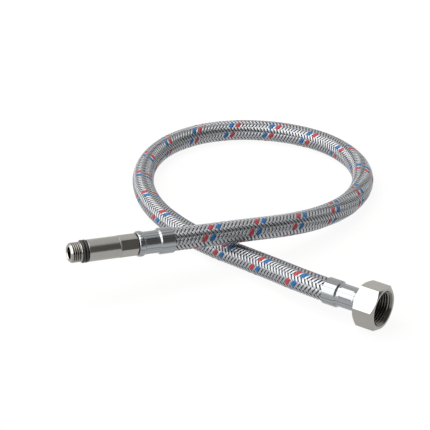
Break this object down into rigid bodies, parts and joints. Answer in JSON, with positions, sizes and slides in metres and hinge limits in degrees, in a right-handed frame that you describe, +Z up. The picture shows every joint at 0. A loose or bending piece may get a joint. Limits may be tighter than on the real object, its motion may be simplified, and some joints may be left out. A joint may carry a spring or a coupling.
{
  "type": "flexible tap connector",
  "caption": "Flexible braided tap connector: long M10 tail with O-rings, crimped ferrules and a G3/8 swivel nut, lying in one loose loop.",
  "frame": {"origin": "on the surface that the hose lies on, below the middle of the fittings' common box", "axes": "+X is the swivel nut's axis, pointing out of the nut; +Z is up from the surface"},
  "size_m": [0.2062, 0.2269, 0.0309],
  "materials": {
    "nickel_brass": "nickel-plated brass, satin",
    "bright_steel": "bright drawn stainless steel",
    "steel_braid": "woven stainless wire with one red and one blue tracer",
    "black_rubber": "matt black rubber"
  },
  "bodies": {
    "hose": {"braided_sleeve": "steel_braid", "inner_hose": "black_rubber", "m10_tail": "nickel_brass", "o_ring_front": "black_rubber", "o_ring_rear": "black_rubber", "tail_ferrule": "bright_steel", "nut_insert": "nickel_brass", "washer": "black_rubber", "nut_ferrule": "bright_steel"},
    "nut": {"swivel_nut": "nickel_brass"}
  },
  "joints": [
    {"name": "nut_swivel", "type": "hinge", "parent": "hose", "child": "nut", "pos_m": [0.066, 0.0273, 0.01093], "axis": [1, 0, 0], "continuous": true}
  ]
}
